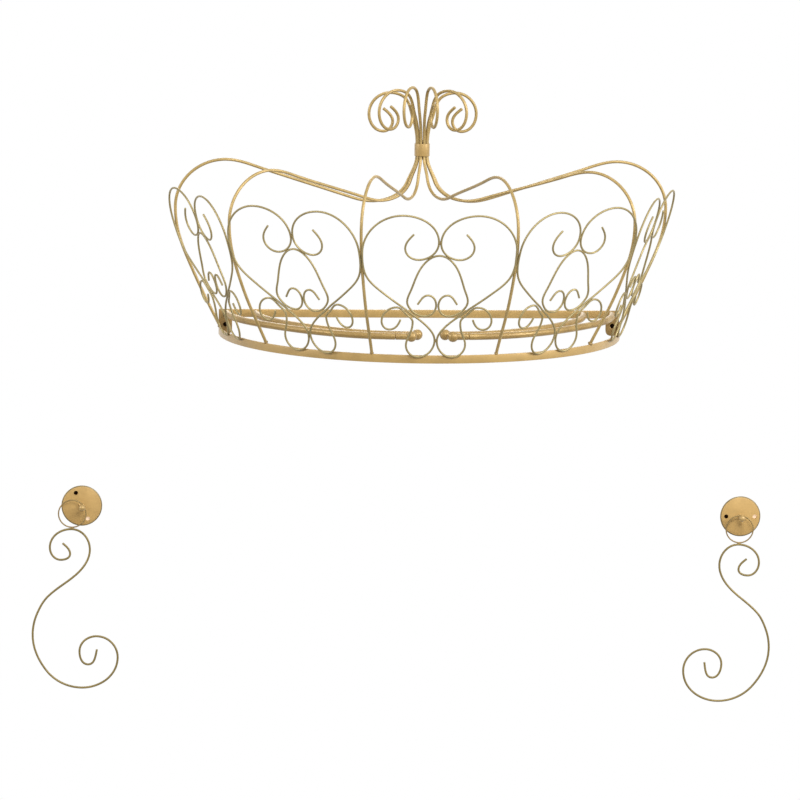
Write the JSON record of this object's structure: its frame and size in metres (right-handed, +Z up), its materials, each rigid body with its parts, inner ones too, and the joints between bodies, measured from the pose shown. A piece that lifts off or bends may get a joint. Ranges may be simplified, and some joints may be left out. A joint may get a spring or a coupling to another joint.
{
  "type": "bed crown canopy",
  "caption": "Half-round crown of scrolled steel wire on a flat strap, hung on the wall with curved curtain rods inside, and a pair of ringed holdback hooks.",
  "frame": {"origin": "middle of the back bar's rear face, on the wall", "axes": "+X to the right along the wall, +Y into the wall, +Z up"},
  "size_m": [1.1134, 0.3781, 0.9345],
  "materials": {
    "gold_paint": "satin gold paint"
  },
  "bodies": {
    "crown": {"base_strap": "gold_paint", "back_bar": "gold_paint", "left_screw_tab": "gold_paint", "right_screw_tab": "gold_paint", "rib_1": "gold_paint", "rib_2": "gold_paint", "rib_3": "gold_paint", "rib_4": "gold_paint", "rib_5": "gold_paint", "rib_6": "gold_paint", "plume_collar": "gold_paint", "panel_1_left_scroll": "gold_paint", "panel_1_right_scroll": "gold_paint", "panel_1_teardrop": "gold_paint", "panel_2_left_scroll": "gold_paint", "panel_2_right_scroll": "gold_paint", "panel_2_teardrop": "gold_paint", "panel_3_left_scroll": "gold_paint", "panel_3_right_scroll": "gold_paint", "panel_3_teardrop": "gold_paint", "panel_4_left_scroll": "gold_paint", "panel_4_right_scroll": "gold_paint", "panel_4_teardrop": "gold_paint", "panel_5_left_scroll": "gold_paint", "panel_5_right_scroll": "gold_paint", "panel_5_teardrop": "gold_paint", "left_outer_rod": "gold_paint", "right_outer_rod": "gold_paint", "left_inner_rod": "gold_paint", "right_inner_rod": "gold_paint", "left_holdback_plate": "gold_paint", "left_holdback_stud": "gold_paint", "right_holdback_plate": "gold_paint", "right_holdback_stud": "gold_paint"},
    "left_outer_finial": {"left_outer_finial": "gold_paint"},
    "right_outer_finial": {"right_outer_finial": "gold_paint"},
    "left_inner_finial": {"left_inner_finial": "gold_paint"},
    "right_inner_finial": {"right_inner_finial": "gold_paint"},
    "left_hook": {"left_holdback_ring": "gold_paint", "left_holdback_hook": "gold_paint"},
    "right_hook": {"right_holdback_ring": "gold_paint", "right_holdback_hook": "gold_paint"}
  },
  "joints": [
    {"name": "left_outer_finial_pull", "type": "slide", "parent": "crown", "child": "left_outer_finial", "axis": [0.9986, -0.0523, 0], "range_m": [0, 0.008]},
    {"name": "right_outer_finial_pull", "type": "slide", "parent": "crown", "child": "right_outer_finial", "axis": [-0.9986, -0.0523, 0], "range_m": [0, 0.008]},
    {"name": "left_inner_finial_pull", "type": "slide", "parent": "crown", "child": "left_inner_finial", "axis": [0.9986, -0.0523, 0], "range_m": [0, 0.008]},
    {"name": "right_inner_finial_pull", "type": "slide", "parent": "crown", "child": "right_inner_finial", "axis": [-0.9986, -0.0523, 0], "range_m": [0, 0.008]},
    {"name": "left_hook_swing", "type": "hinge", "parent": "crown", "child": "left_hook", "pos_m": [-0.502, -0.014, -0.292], "axis": [0, 1, 0], "range_deg": [-75, 75]},
    {"name": "right_hook_swing", "type": "hinge", "parent": "crown", "child": "right_hook", "pos_m": [0.49, -0.014, -0.306], "axis": [0, 1, 0], "range_deg": [-75, 75]}
  ]
}
